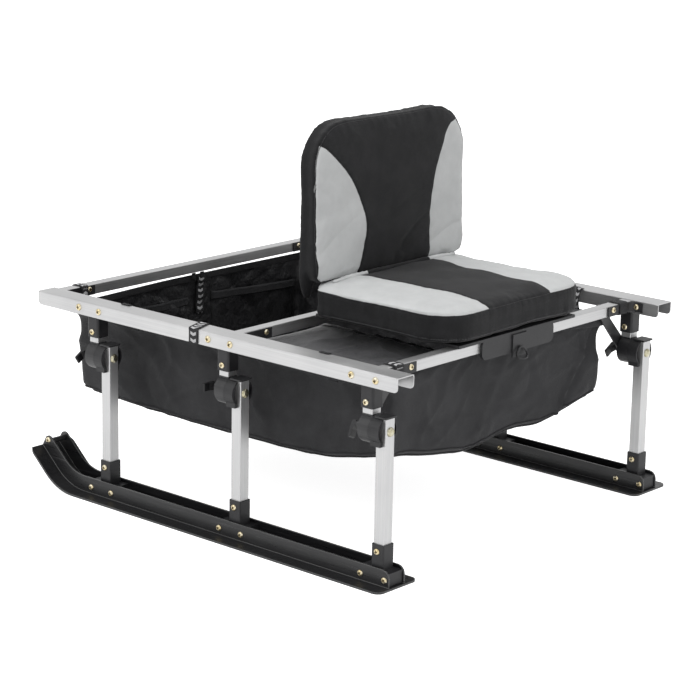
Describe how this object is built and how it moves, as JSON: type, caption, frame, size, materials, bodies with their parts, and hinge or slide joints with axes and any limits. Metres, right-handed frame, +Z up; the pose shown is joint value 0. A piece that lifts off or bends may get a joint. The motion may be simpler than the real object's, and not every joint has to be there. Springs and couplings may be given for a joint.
{
  "type": "ice fishing sled",
  "caption": "Ice fishing sled with upturned runners on hinged legs, an aluminium deck frame with a hanging cloth basket, and a sliding padded seat with a folding back.",
  "frame": {"origin": "on the ground, under the centre of the whole sled's bounding box", "axes": "+X from the ski tips to the rear, +Y from the near ski to the far ski, +Z up"},
  "size_m": [1.004, 0.9628, 0.8218],
  "materials": {
    "aluminium": "satin silver extrusion",
    "black_plastic": "moulded black, fine grain",
    "lever_plastic": "moulded black",
    "ski_plastic": "smooth black with scuffs",
    "black_steel": "black powder coat",
    "zinc_steel": "zinc and yellow plated fasteners",
    "basket_cloth": "coated black cloth",
    "seat_cloth": "black woven cloth with light grey panels",
    "webbing": "black webbing"
  },
  "bodies": {
    "frame": {"near_rail": "aluminium", "far_rail": "aluminium", "front_cross_tube": "aluminium", "middle_cross_tube": "aluminium", "rear_cross_tube": "aluminium", "near_front_tube_bracket": "black_plastic", "near_front_leg_socket": "black_plastic", "near_front_upper_leg": "black_plastic", "near_middle_tube_bracket": "black_plastic", "near_middle_leg_socket": "black_plastic", "near_middle_upper_leg": "black_plastic", "near_rear_tube_bracket": "black_plastic", "near_rear_leg_socket": "black_plastic", "near_rear_upper_leg": "black_plastic", "near_rear_brace": "black_steel", "far_front_tube_bracket": "black_plastic", "far_front_leg_socket": "black_plastic", "far_front_upper_leg": "black_plastic", "far_middle_tube_bracket": "black_plastic", "far_middle_leg_socket": "black_plastic", "far_middle_upper_leg": "black_plastic", "far_rear_tube_bracket": "black_plastic", "far_rear_leg_socket": "black_plastic", "far_rear_upper_leg": "black_plastic", "far_rear_brace": "black_steel", "basket": "basket_cloth"},
    "near_ski_unit": {"near_front_lower_hinge": "black_plastic", "near_front_lower_leg": "aluminium", "near_front_foot": "black_plastic", "near_middle_lower_hinge": "black_plastic", "near_middle_lower_leg": "aluminium", "near_middle_foot": "black_plastic", "near_rear_lower_hinge": "black_plastic", "near_rear_lower_leg": "aluminium", "near_rear_foot": "black_plastic", "near_ski": "ski_plastic", "near_tip_spacer": "black_plastic"},
    "far_ski_unit": {"far_front_lower_hinge": "black_plastic", "far_front_lower_leg": "aluminium", "far_front_foot": "black_plastic", "far_middle_lower_hinge": "black_plastic", "far_middle_lower_leg": "aluminium", "far_middle_foot": "black_plastic", "far_rear_lower_hinge": "black_plastic", "far_rear_lower_leg": "aluminium", "far_rear_foot": "black_plastic", "far_ski": "ski_plastic", "far_tip_spacer": "black_plastic"},
    "near_front_lever_body": {"near_front_lever": "lever_plastic"},
    "near_middle_lever_body": {"near_middle_lever": "lever_plastic"},
    "near_rear_lever_body": {"near_rear_lever": "lever_plastic"},
    "far_front_lever_body": {"far_front_lever": "lever_plastic"},
    "far_middle_lever_body": {"far_middle_lever": "lever_plastic"},
    "far_rear_lever_body": {"far_rear_lever": "lever_plastic"},
    "seat": {"seat_base": "black_plastic", "seat_strap_hook": "webbing", "seat_cushion": "seat_cloth"},
    "seat_back_unit": {"seat_back": "seat_cloth", "seat_crease_roll": "seat_cloth"}
  },
  "joints": [
    {"name": "near_ski_fold", "type": "hinge", "parent": "frame", "child": "near_ski_unit", "pos_m": [0, -0.4224, 0.3048], "axis": [1, 0, 0], "range_deg": [0, 90], "deforming": ["basket"]},
    {"name": "far_ski_fold", "type": "hinge", "parent": "frame", "child": "far_ski_unit", "pos_m": [0, 0.4224, 0.3048], "axis": [-1, 0, 0], "range_deg": [0, 90], "deforming": ["basket"]},
    {"name": "near_front_lever_flip", "type": "hinge", "parent": "frame", "child": "near_front_lever_body", "pos_m": [-0.383, -0.4224, 0.3048], "axis": [0, 0.5592, -0.829], "range_deg": [0, 90]},
    {"name": "near_middle_lever_flip", "type": "hinge", "parent": "frame", "child": "near_middle_lever_body", "pos_m": [-0.002, -0.4224, 0.3048], "axis": [0, 0, -1], "range_deg": [0, 90]},
    {"name": "near_rear_lever_flip", "type": "hinge", "parent": "frame", "child": "near_rear_lever_body", "pos_m": [0.379, -0.4224, 0.3048], "axis": [0, 0.9205, -0.3907], "range_deg": [0, 90]},
    {"name": "far_front_lever_flip", "type": "hinge", "parent": "frame", "child": "far_front_lever_body", "pos_m": [-0.383, 0.4224, 0.3048], "axis": [0, 0.5, -0.866], "range_deg": [0, 90]},
    {"name": "far_middle_lever_flip", "type": "hinge", "parent": "frame", "child": "far_middle_lever_body", "pos_m": [-0.002, 0.4224, 0.3048], "axis": [0, 0.5, -0.866], "range_deg": [0, 90]},
    {"name": "far_rear_lever_flip", "type": "hinge", "parent": "frame", "child": "far_rear_lever_body", "pos_m": [0.379, 0.4224, 0.3048], "axis": [0, 0.5, -0.866], "range_deg": [0, 90]},
    {"name": "seat_slide", "type": "slide", "parent": "frame", "child": "seat", "axis": [0, 1, 0], "range_m": [-0.13, 0.13]},
    {"name": "seat_back_fold", "type": "hinge", "parent": "seat", "child": "seat_back_unit", "pos_m": [0.1057, 0, 0.5017], "axis": [0, 1, 0], "range_deg": [0, 80]}
  ],
  "couplings": [
    {"joint": "far_ski_fold", "follows": "near_ski_fold", "ratio": 1}
  ]
}
